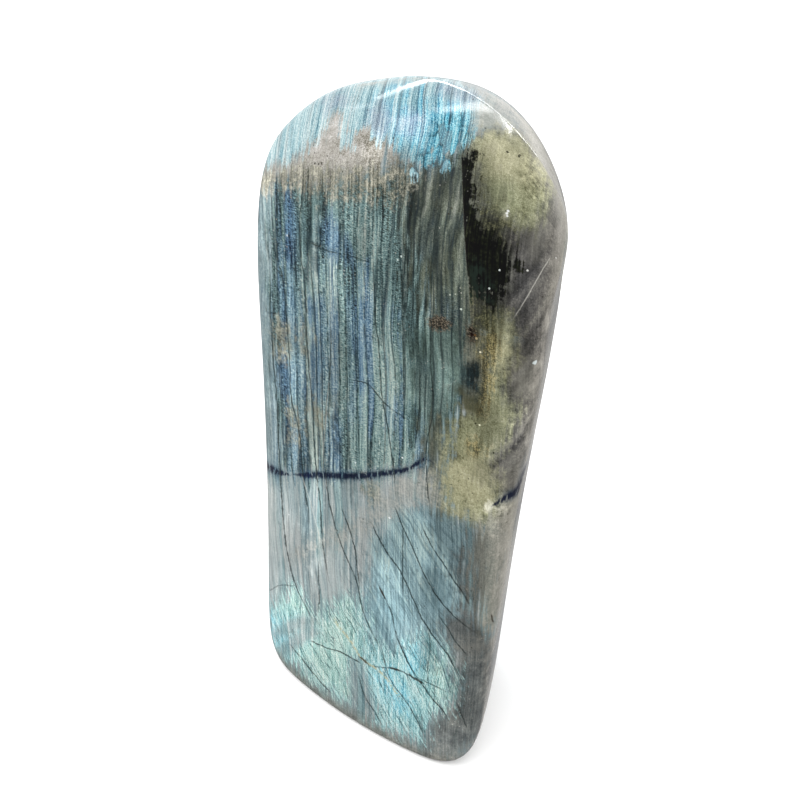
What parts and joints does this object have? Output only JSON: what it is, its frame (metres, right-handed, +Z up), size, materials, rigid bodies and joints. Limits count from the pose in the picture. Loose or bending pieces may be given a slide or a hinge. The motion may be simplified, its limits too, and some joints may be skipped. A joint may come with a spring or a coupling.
{
  "type": "polished labradorite freeform",
  "caption": "Polished freestanding labradorite: a tall, flat-based stone with a broad striped front face, blue-green flash at the top and foot, a dark vein and olive patches.",
  "frame": {"origin": "middle of the bounding box, on the surface the stone stands on", "axes": "+Z up; -Y out of the broad front face; +X to the right of someone facing that face"},
  "size_m": [0.0958, 0.0652, 0.2],
  "materials": {
    "labradorite": "mirror polish over blue-grey lamellae, with cyan flash, olive and black patches and fine dark cracks"
  },
  "bodies": {
    "root": {"stone": "labradorite"}
  },
  "joints": []
}
